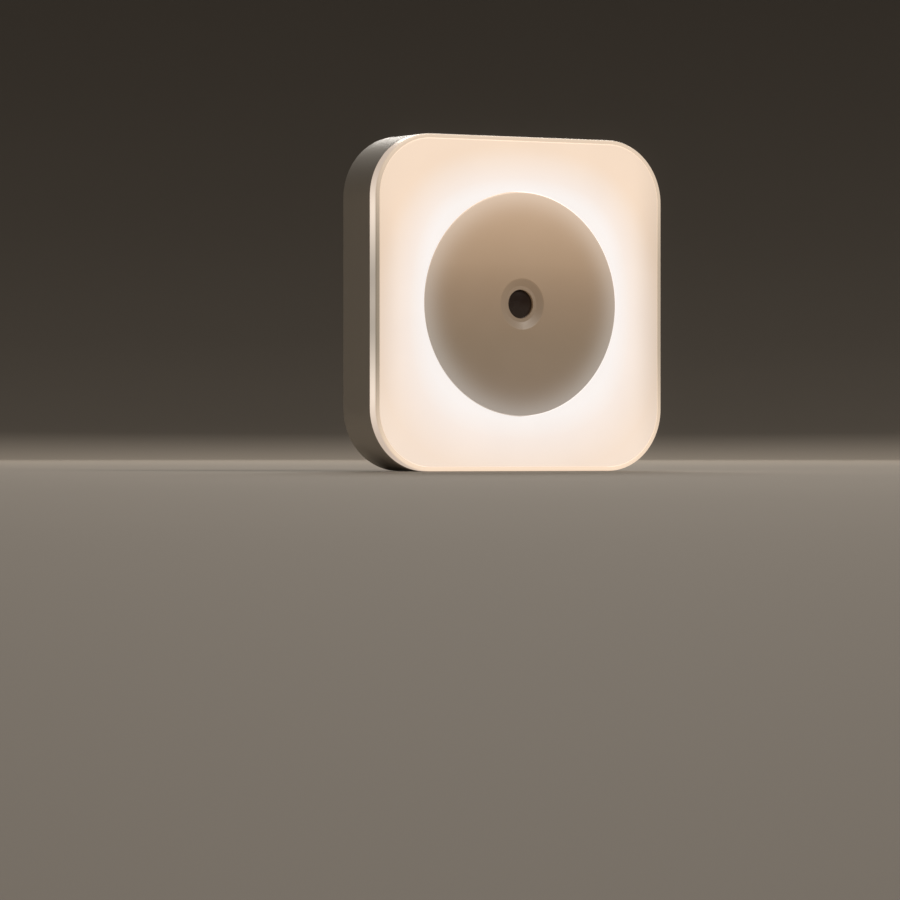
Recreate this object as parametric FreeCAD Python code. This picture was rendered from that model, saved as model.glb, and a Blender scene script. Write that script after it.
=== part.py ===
import FreeCAD, Part
import math
import os

# A plug-in night light that switches itself on at dusk. All sizes are in millimetres.
# It is drawn lying on its plug: x to the right, y up the wall and z out into the room,
# with the outlet's face at level 0. The last step stands it up against the wall.

# Case
case_width = 55.3
case_corner_radius = 10.4
housing_side_depth = 9.1
rim_side_depth = 2.1
side_wall = 1.6
back_wall = 1.8
back_edge_round = 0.5
front_edge_round = 0.25
seam_chamfer = 0.12

# Plug boss on the back of the housing
boss_width = 30.0
boss_height = 24.0
boss_corner_radius = 5.0
boss_depth = 2.5
boss_edge_round = 0.4

# Rim and the panel that lies flush in it
rim_band = 0.66
panel_gap = 0.06
panel_thickness = 1.4
panel_edge_round = 0.12
skirt_wall = 1.2
skirt_height = 2.6
skirt_gap = 0.15

# Snap hooks of the rim, two to a side
hook_width = 6.0
hook_height = 1.2
hook_ramp = 0.8
hook_reach = 0.7
hook_setback = 0.3
hook_spacing = 24.0
hook_gap = 0.15
hook_end_gap = 0.3

# Centre disc
disc_radius = 18.5
disc_crown = 0.35
disc_thickness = 1.4
disc_edge_chamfer = 0.2
disc_gap = 0.1
flange_overlap = 1.1
flange_thickness = 0.8
disc_skirt_wall = 1.0
disc_skirt_setback = 0.3

# Dish, hole and collar for the light sensor
dish_radius = 4.25
dish_floor_radius = 3.0
dish_depth = 0.45
sensor_hole_radius = 2.4
sensor_lip = 0.45
collar_wall = 1.1
collar_depth = 1.4
collar_gap = 0.08

# Light sensor, its sleeve and its window
sensor_radius = 2.5
sensor_thickness = 2.0
sensor_window_gap = 0.4
sensor_lead_spacing = 3.4
sleeve_gap = 0.3
sleeve_wall = 0.6
window_thickness = 1.0

# Plug blades, flat and parallel
blade_spacing = 12.7
blade_width = 6.35
blade_thickness = 1.5
blade_reach = 16.6
blade_hole_radius = 1.6
blade_hole_depth = 11.9
blade_tip_cut = 1.3
blade_tip_taper = 0.45
blade_tip_taper_length = 1.6
shoulder_width = 9.4
shoulder_depth = 1.2
neck_width = 3.0
neck_stand = 0.9
blade_gap = 0.1

# Plate that traps the blades' shoulders
retainer_length = 17.2
retainer_width = 11.2
retainer_corner_radius = 1.5
retainer_thickness = 1.5
retainer_ear_radius = 2.6
retainer_relief_radius = 3.0

# Screws
screw_radius = 0.9
screw_gap = 0.05
screw_head_radius = 1.9
screw_end_gap = 0.3
countersink_depth = 1.0
retainer_screw_length = 4.3
retainer_screw_margin = 0.6
pan_head_height = 1.2
board_screw_bite = 0.8
cross_length = 2.2
cross_width = 0.5
cross_depth = 0.55

# Circuit board on its posts
board_thickness = 1.2
board_edge_gap = 0.3
board_standoff = 2.0
post_radius = 2.3
post_inset = 4.4

# LEDs in a ring round the disc
led_count = 8
led_length = 3.5
led_width = 2.8
led_height = 0.75
led_window_radius = 1.15
led_window_depth = 0.2

# Parts of the circuit, kept in the shade of the disc
shade_margin = 0.6
seat_gap = 0.1
lead_radius = 0.25
lead_bend = 0.6
lead_hole_gap = 0.1
lead_end = 0.9
solder_radius = 0.85
solder_height = 0.7
blade_solder_radius = 2.3
blade_solder_top_radius = 1.9
blade_solder_height = 0.8

fuse_radius = 1.4
fuse_length = 6.5
fuse_cap_length = 1.3
fuse_waist = 0.2
fuse_lead_spacing = 11.0
fuse_angle = 180.0

varistor_radius = 3.3
varistor_thickness = 2.6
varistor_round = 0.9
varistor_lead_spacing = 5.0
varistor_angle = 0.0

capacitor_radius = 1.9
capacitor_length = 7.0
capacitor_groove = 0.25
capacitor_groove_place = 1.2
capacitor_lead_spacing = 2.0
capacitor_lead_run = 1.1
capacitor_angle = 45.0

package_stand = 0.1
package_draft = 0.25
pin_thickness = 0.2
pin_foot = 0.6

bridge_length = 4.7
bridge_width = 3.9
bridge_height = 2.4
bridge_span = 6.8
bridge_pin_width = 0.65
bridge_pin_pitch = 2.54
bridge_angle = 90.0

driver_length = 4.9
driver_width = 3.9
driver_height = 1.5
driver_span = 6.0
driver_pin_width = 0.41
driver_pin_pitch = 1.27
driver_pins_per_side = 4
driver_angle = 270.0

transistor_length = 2.9
transistor_width = 1.3
transistor_height = 1.0
transistor_span = 2.4
transistor_pin_width = 0.4
transistor_pin_pitch = 1.9
transistor_angle = 135.0

chip_length = 3.2
chip_width = 1.6
resistor_height = 0.55
capacitor_chip_height = 1.2
chip_cap_length = 0.5
chip_cap_thickness = 0.04
chip_pitch_angle = 16.0
resistor_group_angles = [231.0, 309.0]
capacitor_chip_angle = 112.0

level_tolerance = 1e-6

# Levels, from the outlet's face outwards
outlet_level = 0.0
back_level = outlet_level + boss_depth
floor_level = back_level + back_wall
seam_level = back_level + housing_side_depth
front_level = seam_level + rim_side_depth
panel_back_level = front_level - panel_thickness
skirt_level = seam_level - skirt_height
board_back_level = floor_level + board_standoff
board_front_level = board_back_level + board_thickness
retainer_top_level = floor_level + retainer_thickness
disc_back_level = front_level - disc_thickness
lead_end_level = board_back_level - lead_end

# Widths and radii that follow from the case, inwards
cavity_width = case_width - 2 * side_wall
cavity_corner_radius = case_corner_radius - side_wall
skirt_width = cavity_width - 2 * skirt_gap
skirt_corner_radius = cavity_corner_radius - skirt_gap
skirt_inner_width = skirt_width - 2 * skirt_wall
skirt_inner_radius = skirt_corner_radius - skirt_wall
board_width = skirt_inner_width - 2 * board_edge_gap
board_corner_radius = skirt_inner_radius - board_edge_gap
panel_seat_width = case_width - 2 * rim_band
panel_seat_radius = case_corner_radius - rim_band
panel_width = panel_seat_width - 2 * panel_gap
panel_corner_radius = panel_seat_radius - panel_gap

# Radii round the plug axis
flange_radius = disc_radius + flange_overlap
disc_skirt_radius = disc_radius - disc_skirt_setback
disc_skirt_inner_radius = disc_skirt_radius - disc_skirt_wall
shade_radius = disc_skirt_inner_radius - shade_margin
sleeve_inner_radius = sensor_radius + sleeve_gap
sleeve_radius = sleeve_inner_radius + sleeve_wall
collar_inner_radius = sleeve_radius + collar_gap
collar_radius = collar_inner_radius + collar_wall
led_ring_radius = (flange_radius + skirt_inner_width / 2) / 2

# Places of the blades and the screws
blade_places = [-blade_spacing / 2, blade_spacing / 2]
retainer_screw_offset = (
    blade_spacing / 2 + blade_thickness / 2 + blade_gap + retainer_screw_margin + screw_head_radius
)
retainer_screw_places = [(-retainer_screw_offset, 0), (retainer_screw_offset, 0)]
post_offset = board_width / 2 - post_inset
post_places = [
    (x, y)
    for x in (-post_offset, post_offset)
    for y in (-post_offset, post_offset)
]
pilot_radius = screw_radius + screw_gap


def point(x, y, z):
    return FreeCAD.Vector(x, y, z)


def rounded_outline(width, height, radius, level):
    """Outline with four round corners, centred on the plug axis."""
    across = width / 2 - radius
    up = height / 2 - radius
    arcs = []
    for quarter, (x, y) in enumerate([(across, up), (-across, up), (-across, -up), (across, -up)]):
        start = quarter * math.pi / 2
        circle = Part.Circle(point(x, y, level), point(0, 0, 1), radius)
        arcs.append(Part.ArcOfCircle(circle, start, start + math.pi / 2).toShape())
    edges = []
    for arc, following in zip(arcs, arcs[1:] + arcs[:1]):
        edges.append(arc)
        edges.append(Part.makeLine(arc.Vertexes[-1].Point, following.Vertexes[0].Point))
    return Part.Wire(edges)


def rounded_block(width, height, radius, low, high):
    outline = rounded_outline(width, height, radius, low)
    return Part.Face(outline).extrude(point(0, 0, high - low))


def square_block(width, radius, low, high):
    return rounded_block(width, width, radius, low, high)


def block(width, height, low, high, x=0, y=0):
    corner = point(x - width / 2, y - height / 2, low)
    return Part.makeBox(width, height, high - low, corner)


def rod(radius, low, high, x=0, y=0):
    return Part.makeCylinder(radius, high - low, point(x, y, low))


def cone(low_radius, high_radius, low, high, x=0, y=0):
    return Part.makeCone(low_radius, high_radius, high - low, point(x, y, low))


def prism(outline, axis, start, length):
    """Solid of one outline drawn across the given axis, "x" or "y"."""
    if axis == "x":
        corners = [point(start, a, b) for a, b in outline]
        direction = point(length, 0, 0)
    else:
        corners = [point(a, start, b) for a, b in outline]
        direction = point(0, length, 0)
    return Part.Face(Part.makePolygon(corners + corners[:1])).extrude(direction)


def edges_at(shape, level):
    """Edges that lie flat at one level."""
    found = []
    for edge in shape.Edges:
        box = edge.BoundBox
        if abs(box.ZMin - level) < level_tolerance and abs(box.ZMax - level) < level_tolerance:
            found.append(edge)
    return found


def turned_about(shape, angle):
    turned_copy = shape.copy()
    turned_copy.rotate(point(0, 0, 0), point(0, 0, 1), angle)
    return turned_copy


def seat_radius(half_depth, half_width):
    """Distance from the axis at which a part's outer corners reach the edge of the shade."""
    return math.sqrt(shade_radius ** 2 - half_width ** 2) - half_depth


def seated(shape, angle, radius):
    """Part moved out from the axis, its own x pointing outwards."""
    moved = shape.copy()
    moved.translate(point(radius, 0, 0))
    return turned_about(moved, angle)


def seated_point(angle, radius, x, y):
    """Where a part's own point lands on the board."""
    turn = math.radians(angle)
    out = radius + x
    return (
        out * math.cos(turn) - y * math.sin(turn),
        out * math.sin(turn) + y * math.cos(turn),
    )


# Rear housing


def hook_sites():
    """Angle of each side of the case and place along it of each snap hook."""
    for side in range(4):
        for along in (-hook_spacing / 2, hook_spacing / 2):
            yield side * 90, along


def hook_pockets():
    inner = cavity_width / 2
    depth = hook_reach - skirt_gap + hook_gap
    high = seam_level - skirt_height + hook_setback + hook_height + hook_gap
    low = skirt_level + hook_setback - hook_gap
    pockets = []
    for angle, along in hook_sites():
        width = hook_width + 2 * hook_end_gap
        pocket = block(2 * depth, width, low, high, inner, along)
        pockets.append(turned_about(pocket, angle))
    return pockets


def blade_slots():
    """Slots for the blades and the deeper pockets for their shoulders."""
    slots = []
    thickness = blade_thickness + 2 * blade_gap
    for x in blade_places:
        width = blade_width + 2 * blade_gap
        slots.append(block(thickness, width, outlet_level, floor_level, x))
        shoulder = shoulder_width + 2 * blade_gap
        slots.append(block(thickness, shoulder, floor_level - shoulder_depth, floor_level, x))
    return slots


def pilot_holes():
    holes = []
    retainer_end = retainer_top_level - retainer_screw_length - screw_end_gap
    for x, y in retainer_screw_places:
        holes.append(rod(pilot_radius, retainer_end, floor_level, x, y))
    post_end = floor_level - board_screw_bite - screw_end_gap
    for x, y in post_places:
        holes.append(rod(pilot_radius, post_end, board_back_level, x, y))
    return holes


def rear_housing():
    shell = square_block(case_width, case_corner_radius, back_level, seam_level)
    shell = shell.makeFillet(back_edge_round, edges_at(shell, back_level))
    shell = shell.makeChamfer(seam_chamfer, edges_at(shell, seam_level))
    boss = rounded_block(boss_width, boss_height, boss_corner_radius, outlet_level, floor_level)
    boss = boss.makeFillet(boss_edge_round, edges_at(boss, outlet_level))
    cavity = square_block(cavity_width, cavity_corner_radius, floor_level, seam_level)
    posts = [rod(post_radius, back_level + back_wall / 2, board_back_level, x, y) for x, y in post_places]
    body = shell.fuse(boss).cut(cavity).fuse(posts)
    return body.cut(blade_slots() + pilot_holes() + hook_pockets()).removeSplitter()


# Front rim, diffuser panel and centre disc


def snap_hooks():
    """Hooks with a ramp below and a flat catch on top, rooted in the rim's skirt."""
    low = skirt_level + hook_setback
    face = skirt_width / 2
    root = face - skirt_wall / 2
    outline = [
        (root, low),
        (face, low),
        (face + hook_reach, low + hook_ramp),
        (face + hook_reach, low + hook_height),
        (root, low + hook_height),
    ]
    hooks = []
    for angle, along in hook_sites():
        hook = prism(outline, "y", along - hook_width / 2, hook_width)
        hooks.append(turned_about(hook, angle))
    return hooks


def front_rim():
    frame = square_block(case_width, case_corner_radius, seam_level, front_level)
    frame = frame.makeFillet(front_edge_round, edges_at(frame, front_level))
    frame = frame.makeChamfer(seam_chamfer, edges_at(frame, seam_level))
    skirt = square_block(skirt_width, skirt_corner_radius, skirt_level, panel_back_level)
    seat = square_block(panel_seat_width, panel_seat_radius, panel_back_level, front_level)
    opening = square_block(skirt_inner_width, skirt_inner_radius, skirt_level, panel_back_level)
    return frame.fuse([skirt] + snap_hooks()).cut([seat, opening]).removeSplitter()


def front_diffuser():
    panel = square_block(panel_width, panel_corner_radius, panel_back_level, front_level)
    panel = panel.makeFillet(panel_edge_round, edges_at(panel, front_level))
    hole = rod(disc_radius + disc_gap, panel_back_level, front_level)
    return panel.cut(hole)


def crown_level(radius):
    """Level of the disc's crowned front at a distance from the axis."""
    return front_level + disc_crown * (1 - (radius / disc_radius) ** 2)


dish_floor_level = crown_level(dish_radius) - dish_depth
window_front_level = dish_floor_level - sensor_lip
window_back_level = window_front_level - window_thickness


def disc_profile():
    """Corners of the disc's half section, from the crown's edge round the back to the dish."""
    crown_edge = disc_radius - disc_edge_chamfer
    return [
        (crown_edge, crown_level(crown_edge)),
        (disc_radius, front_level - disc_edge_chamfer),
        (disc_radius, panel_back_level),
        (flange_radius, panel_back_level),
        (flange_radius, panel_back_level - flange_thickness),
        (disc_skirt_radius, panel_back_level - flange_thickness),
        (disc_skirt_radius, board_front_level),
        (disc_skirt_inner_radius, board_front_level),
        (disc_skirt_inner_radius, disc_back_level),
        (collar_radius, disc_back_level),
        (collar_radius, disc_back_level - collar_depth),
        (collar_inner_radius, disc_back_level - collar_depth),
        (collar_inner_radius, window_front_level),
        (sensor_hole_radius, window_front_level),
        (sensor_hole_radius, dish_floor_level),
        (dish_floor_radius, dish_floor_level),
        (dish_radius, crown_level(dish_radius)),
    ]


def centre_disc():
    corners = [point(radius, 0, level) for radius, level in disc_profile()]
    crown_middle = (dish_radius + disc_radius) / 2
    crown = Part.Arc(corners[-1], point(crown_middle, 0, crown_level(crown_middle)), corners[0])
    outline = Part.Wire([crown.toShape()] + Part.makePolygon(corners).Edges)
    return Part.Face(outline).revolve(point(0, 0, 0), point(0, 0, 1), 360)


def sensor_window():
    return rod(sleeve_radius, window_back_level, window_front_level)


def sensor_sleeve():
    outside = rod(sleeve_radius, board_front_level, window_back_level)
    return outside.cut(rod(sleeve_inner_radius, board_front_level, window_back_level))


def sensor_lead_places():
    return [(0, -sensor_lead_spacing / 2), (0, sensor_lead_spacing / 2)]


def light_sensor():
    top = window_back_level - sensor_window_gap
    body = rod(sensor_radius, top - sensor_thickness, top)
    leads = [rod(lead_radius, lead_end_level, top - sensor_thickness, x, y) for x, y in sensor_lead_places()]
    return body.fuse(leads)


# Plug blades and the plate that holds them


def blade(x):
    """Blade with cut tip corners, a shoulder in the housing and a neck up to the board."""
    half = blade_width / 2
    shoulder = shoulder_width / 2
    neck = neck_width / 2
    tip = outlet_level - blade_reach
    shoulder_low = floor_level - shoulder_depth
    neck_top = board_front_level + neck_stand
    outline = [
        (-half, shoulder_low),
        (-half, tip + blade_tip_cut),
        (-half + blade_tip_cut, tip),
        (half - blade_tip_cut, tip),
        (half, tip + blade_tip_cut),
        (half, shoulder_low),
        (shoulder, shoulder_low),
        (shoulder, floor_level),
        (neck, floor_level),
        (neck, neck_top),
        (-neck, neck_top),
        (-neck, floor_level),
        (-shoulder, floor_level),
        (-shoulder, shoulder_low),
    ]
    left = x - blade_thickness / 2
    plate = prism(outline, "x", left, blade_thickness)
    hole_centre = point(left, 0, outlet_level - blade_hole_depth)
    hole = Part.makeCylinder(blade_hole_radius, blade_thickness, hole_centre, point(1, 0, 0))
    return plate.cut([hole] + tip_tapers(x, tip))


def tip_tapers(x, tip):
    """Wedges that thin the blade's tip on both faces."""
    wedges = []
    for side in (-1, 1):
        face = x + side * blade_thickness / 2
        outline = [
            (face, tip + blade_tip_taper_length),
            (face - side * blade_tip_taper, tip),
            (face, tip),
        ]
        wedges.append(prism(outline, "y", -blade_width / 2, blade_width))
    return wedges


def blade_necks(gap, low, high):
    """Blocks as large as the blades' necks with a gap all round."""
    return [block(blade_thickness + 2 * gap, neck_width + 2 * gap, low, high, x) for x in blade_places]


def prong_retainer():
    plate = rounded_block(
        retainer_length, retainer_width, retainer_corner_radius, floor_level, retainer_top_level
    )
    ears = [rod(retainer_ear_radius, floor_level, retainer_top_level, x, y) for x, y in retainer_screw_places]
    arm = block(2 * retainer_screw_offset, 2 * retainer_ear_radius, floor_level, retainer_top_level)
    cuts = blade_necks(blade_gap, floor_level, retainer_top_level)
    cuts.append(rod(retainer_relief_radius, floor_level, retainer_top_level))
    sink_level = retainer_top_level - countersink_depth
    for x, y in retainer_screw_places:
        cuts.append(rod(pilot_radius, floor_level, retainer_top_level, x, y))
        wide = screw_head_radius + screw_gap
        cuts.append(cone(pilot_radius, wide, sink_level, retainer_top_level, x, y))
    return plate.fuse(ears + [arm]).cut(cuts).removeSplitter()


def cross_recess(top, x, y):
    low = top - cross_depth
    return [
        block(cross_length, cross_width, low, top, x, y),
        block(cross_width, cross_length, low, top, x, y),
    ]


def retainer_screw(x, y):
    head_low = retainer_top_level - countersink_depth
    end = retainer_top_level - retainer_screw_length
    head = cone(screw_radius, screw_head_radius, head_low, retainer_top_level, x, y)
    shank = rod(screw_radius, end, head_low, x, y)
    return head.fuse(shank).cut(cross_recess(retainer_top_level, x, y))


def board_screw(x, y):
    top = board_front_level + pan_head_height
    head = rod(screw_head_radius, board_front_level, top, x, y)
    head = head.makeFillet(pan_head_height / 2, edges_at(head, top))
    shank = rod(screw_radius, floor_level - board_screw_bite, board_front_level, x, y)
    return head.fuse(shank).cut(cross_recess(top, x, y))


# Circuit board and what is soldered to it


def fuse_seat_radius():
    return seat_radius(fuse_radius, fuse_lead_spacing / 2 + solder_radius)


def varistor_seat_radius():
    return shade_radius - varistor_radius


def capacitor_lead_place():
    return capacitor_length / 2 + capacitor_lead_run


def capacitor_seat_radius():
    return seat_radius(capacitor_radius, capacitor_lead_place() + solder_radius)


def lead_places():
    """Where each wire lead passes through the board."""
    places = sensor_lead_places()
    for y in (-fuse_lead_spacing / 2, fuse_lead_spacing / 2):
        places.append(seated_point(fuse_angle, fuse_seat_radius(), 0, y))
    for x in (-varistor_lead_spacing / 2, varistor_lead_spacing / 2):
        foot = -varistor_radius - lead_bend
        places.append(seated_point(varistor_angle, varistor_seat_radius(), x, foot))
    for x in (-capacitor_lead_spacing / 2, capacitor_lead_spacing / 2):
        places.append(seated_point(capacitor_angle, capacitor_seat_radius(), x, capacitor_lead_place()))
    return places


def circuit_board():
    board = square_block(board_width, board_corner_radius, board_back_level, board_front_level)
    cuts = blade_necks(blade_gap, board_back_level, board_front_level)
    for x, y in post_places:
        cuts.append(rod(pilot_radius, board_back_level, board_front_level, x, y))
    for x, y in lead_places():
        hole_radius = lead_radius + lead_hole_gap
        cuts.append(rod(hole_radius, board_back_level, board_front_level, x, y))
    return board.cut(cuts)


def solder_joints():
    """Cones round the leads behind the board and mounds round the blades' necks before it."""
    joints = []
    low = board_back_level - solder_height
    for x, y in lead_places():
        joint = cone((lead_radius + solder_radius) / 2, solder_radius, low, board_back_level, x, y)
        joints.append(joint.cut(rod(lead_radius, low, board_back_level, x, y)))
    high = board_front_level + blade_solder_height
    necks = blade_necks(0, board_front_level, high)
    for x, neck in zip(blade_places, necks):
        mound = cone(blade_solder_radius, blade_solder_top_radius, board_front_level, high, x)
        joints.append(mound.cut(neck))
    return joints


def led_chips():
    top = board_front_level + led_height
    body = block(led_width, led_length, board_front_level, top)
    chip = body.cut(rod(led_window_radius, top - led_window_depth, top))
    return [seated(chip, number * 360 / led_count, led_ring_radius) for number in range(led_count)]


def bent_lead(x, start, bend_at, level):
    """Round wire that leaves a body along y, bends down and passes through the board."""
    way = math.copysign(1, bend_at - start)
    bend_start = point(x, bend_at - way * lead_bend, level)
    bend_end = point(x, bend_at, level - lead_bend)
    offset = lead_bend * math.sqrt(0.5)
    bend_middle = point(x, bend_start.y + way * offset, bend_end.z + offset)
    path = Part.Wire([
        Part.makeLine(point(x, start, level), bend_start),
        Part.Arc(bend_start, bend_middle, bend_end).toShape(),
        Part.makeLine(bend_end, point(x, bend_at, lead_end_level)),
    ])
    section = Part.Wire(Part.makeCircle(lead_radius, point(x, start, level), point(0, way, 0)))
    return path.makePipeShell([section], True, False)


def lying_turned(profile, x, level):
    """Solid of revolution about a line along y, from a closed profile of (place along y, radius)."""
    corners = [point(x, along, level + radius) for along, radius in profile]
    face = Part.Face(Part.makePolygon(corners + corners[:1]))
    return face.revolve(point(x, 0, level), point(0, 1, 0), 360)


def fusible_resistor():
    """Wire-ended resistor, thicker at its two end caps."""
    end = fuse_length / 2
    cap = end - fuse_cap_length
    waist = fuse_radius - fuse_waist
    profile = [
        (-end, 0), (-end, waist), (-end + fuse_waist, fuse_radius), (-cap - fuse_waist, fuse_radius),
        (-cap, waist), (cap, waist),
        (cap + fuse_waist, fuse_radius), (end - fuse_waist, fuse_radius), (end, waist), (end, 0),
    ]
    level = board_front_level + seat_gap + fuse_radius
    leads = [bent_lead(0, side * cap, side * fuse_lead_spacing / 2, level) for side in (-1, 1)]
    whole = lying_turned(profile, 0, level).fuse(leads)
    return seated(whole, fuse_angle, fuse_seat_radius())


def varistor():
    """Coated disc that lies flat, with both leads on one side."""
    low = board_front_level + seat_gap
    high = low + varistor_thickness
    body = rod(varistor_radius, low, high)
    body = body.makeFillet(varistor_round, edges_at(body, low) + edges_at(body, high))
    level = (low + high) / 2
    leads = []
    for x in (-varistor_lead_spacing / 2, varistor_lead_spacing / 2):
        leads.append(bent_lead(x, 0, -varistor_radius - lead_bend, level))
    return seated(body.fuse(leads), varistor_angle, varistor_seat_radius())


def smoothing_capacitor():
    """Can on its side, with a rolled groove near the end that its leads leave."""
    end = capacitor_length / 2
    groove = end - capacitor_groove_place
    bottom = capacitor_radius - capacitor_groove
    profile = [
        (-end, 0), (-end, bottom), (-end + capacitor_groove, capacitor_radius),
        (groove - capacitor_groove, capacitor_radius), (groove, bottom),
        (groove + capacitor_groove, capacitor_radius), (end - capacitor_groove, capacitor_radius),
        (end, bottom), (end, 0),
    ]
    level = board_front_level + seat_gap + capacitor_radius
    leads = []
    for x in (-capacitor_lead_spacing / 2, capacitor_lead_spacing / 2):
        leads.append(bent_lead(x, groove, capacitor_lead_place(), level))
    whole = lying_turned(profile, 0, level).fuse(leads)
    return seated(whole, capacitor_angle, capacitor_seat_radius())


def gull_pin(body_half, span, pin_width, height, y):
    """Flat pin that leaves a package at half its height and stands on the board."""
    foot = board_front_level
    exit_level = foot + package_stand + height / 2
    end = span / 2
    knee = end - pin_foot
    root = body_half - package_draft - pin_thickness
    outline = [
        (root, exit_level), (knee, exit_level), (knee, foot), (end, foot), (end, foot + pin_thickness),
        (knee + pin_thickness, foot + pin_thickness),
        (knee + pin_thickness, exit_level + pin_thickness), (root, exit_level + pin_thickness),
    ]
    return prism(outline, "y", y - pin_width / 2, pin_width)


def rectangle(width, length, level):
    """Outline with sharp corners, centred on the plug axis."""
    corners = [point(x * width / 2, y * length / 2, level) for x, y in ((-1, -1), (1, -1), (1, 1), (-1, 1))]
    return Part.makePolygon(corners + corners[:1])


def package(length, width, height):
    """Moulded body, drafted above and below its middle."""
    low = board_front_level + package_stand
    halves = []
    for end in (low, low + height):
        wide = rectangle(width, length, low + height / 2)
        narrow = rectangle(width - 2 * package_draft, length - 2 * package_draft, end)
        halves.append(Part.makeLoft([wide, narrow], True, True))
    return halves[0].fuse(halves[1]).removeSplitter()


def pinned_package(length, width, height, span, pin_width, rows):
    """Package with gull-wing pins at the given places on its outer and its inner side."""
    pins = []
    for angle, places in zip((0, 180), rows):
        for y in places:
            pins.append(turned_about(gull_pin(width / 2, span, pin_width, height, y), angle))
    return package(length, width, height).fuse(pins)


def bridge_rectifier():
    pair = [-bridge_pin_pitch / 2, bridge_pin_pitch / 2]
    shape = pinned_package(
        bridge_length, bridge_width, bridge_height, bridge_span, bridge_pin_width, [pair, pair]
    )
    return seated(shape, bridge_angle, seat_radius(bridge_span / 2, bridge_length / 2))


def driver_chip():
    middle = (driver_pins_per_side - 1) / 2
    row = [(number - middle) * driver_pin_pitch for number in range(driver_pins_per_side)]
    shape = pinned_package(
        driver_length, driver_width, driver_height, driver_span, driver_pin_width, [row, row]
    )
    return seated(shape, driver_angle, seat_radius(driver_span / 2, driver_length / 2))


def control_transistor():
    pair = [-transistor_pin_pitch / 2, transistor_pin_pitch / 2]
    shape = pinned_package(
        transistor_length, transistor_width, transistor_height, transistor_span,
        transistor_pin_width, [pair, [0]]
    )
    return seated(shape, transistor_angle, seat_radius(transistor_span / 2, transistor_length / 2))


def chip(height):
    """Ceramic chip with a slightly thicker metal cap at each end."""
    low = board_front_level
    middle = block(
        chip_width - 2 * chip_cap_thickness, chip_length, low + chip_cap_thickness,
        low + height - chip_cap_thickness
    )
    caps = []
    for side in (-1, 1):
        y = side * (chip_length - chip_cap_length) / 2
        caps.append(block(chip_width, chip_cap_length, low, low + height, 0, y))
    return middle.fuse(caps)


def chip_seat_radius():
    return seat_radius(chip_width / 2, chip_length / 2)


def chip_resistors():
    """Two groups of three, side by side along the edge of the shade."""
    resistors = []
    for middle in resistor_group_angles:
        for step in (-1, 0, 1):
            angle = middle + step * chip_pitch_angle
            resistors.append(seated(chip(resistor_height), angle, chip_seat_radius()))
    return resistors


def chip_capacitor():
    return seated(chip(capacitor_chip_height), capacitor_chip_angle, chip_seat_radius())


# Every piece by its name, each stood up against the wall and written to its own file


def stood_up(shape):
    shape.rotate(point(0, 0, 0), point(1, 0, 0), 90)
    return shape


pieces = {
    "rear_housing": [rear_housing()],
    "front_rim": [front_rim()],
    "front_diffuser": [front_diffuser()],
    "centre_disc": [centre_disc()],
    "sensor_window": [sensor_window()],
    "sensor_sleeve": [sensor_sleeve()],
    "light_sensor": [light_sensor()],
    "prong_left": [blade(blade_places[0])],
    "prong_right": [blade(blade_places[1])],
    "prong_retainer": [prong_retainer()],
    "retainer_screws": [retainer_screw(x, y) for x, y in retainer_screw_places],
    "circuit_board": [circuit_board()],
    "board_screws": [board_screw(x, y) for x, y in post_places],
    "led_chips": led_chips(),
    "fusible_resistor": [fusible_resistor()],
    "varistor": [varistor()],
    "smoothing_capacitor": [smoothing_capacitor()],
    "bridge_rectifier": [bridge_rectifier()],
    "driver_chip": [driver_chip()],
    "control_transistor": [control_transistor()],
    "chip_resistors": chip_resistors(),
    "chip_capacitor": [chip_capacitor()],
    "solder_joints": solder_joints(),
}

os.makedirs("parts", exist_ok=True)
for name, solids in pieces.items():
    shape = solids[0] if len(solids) == 1 else Part.makeCompound(solids)
    stood_up(shape).exportStep("parts/" + name + ".step")
    print(name, len(shape.Solids), "solids", round(shape.Volume, 2), "mm3", "valid", shape.isValid())
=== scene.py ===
"""Plug-in night light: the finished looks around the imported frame.

The light hangs by its blades with its face towards -Y, and every size is in metres.
"""

import logging
import math
from dataclasses import dataclass
from enum import Enum
from typing import Iterable, Sequence

import bmesh
import bpy
from mathutils import Matrix, Vector

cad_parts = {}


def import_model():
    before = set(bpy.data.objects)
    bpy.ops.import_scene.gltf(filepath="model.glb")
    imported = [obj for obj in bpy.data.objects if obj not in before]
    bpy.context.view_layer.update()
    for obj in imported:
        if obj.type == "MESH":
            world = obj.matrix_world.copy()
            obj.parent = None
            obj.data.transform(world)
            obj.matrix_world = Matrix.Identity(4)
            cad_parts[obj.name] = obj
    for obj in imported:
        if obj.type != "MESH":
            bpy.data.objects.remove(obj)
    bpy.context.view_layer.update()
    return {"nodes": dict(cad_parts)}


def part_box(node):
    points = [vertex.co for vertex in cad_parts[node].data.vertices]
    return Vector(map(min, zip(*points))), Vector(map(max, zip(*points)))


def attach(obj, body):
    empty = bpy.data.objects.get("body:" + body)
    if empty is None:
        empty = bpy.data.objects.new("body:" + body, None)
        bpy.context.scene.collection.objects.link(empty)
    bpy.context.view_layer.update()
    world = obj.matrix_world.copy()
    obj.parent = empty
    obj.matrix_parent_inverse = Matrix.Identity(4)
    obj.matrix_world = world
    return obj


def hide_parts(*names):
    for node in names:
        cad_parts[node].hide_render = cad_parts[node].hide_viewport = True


log = logging.getLogger("night_light")

Triple = tuple[float, float, float]
Colour = Triple
Span = tuple[float, float]
Stops = Sequence[tuple[float, Colour]]
Socket = bpy.types.NodeSocket
Material = bpy.types.Material
Mesh = bmesh.types.BMesh
Piece = bpy.types.Object

MM = 0.001
TOLERANCE = 1e-6
SHARP = math.radians(40)
# Where a noise has most of its values, and its octaves in colours and roughness
NOISE_SPAN = (0.3, 0.7)
OCTAVES = 4.0


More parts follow.
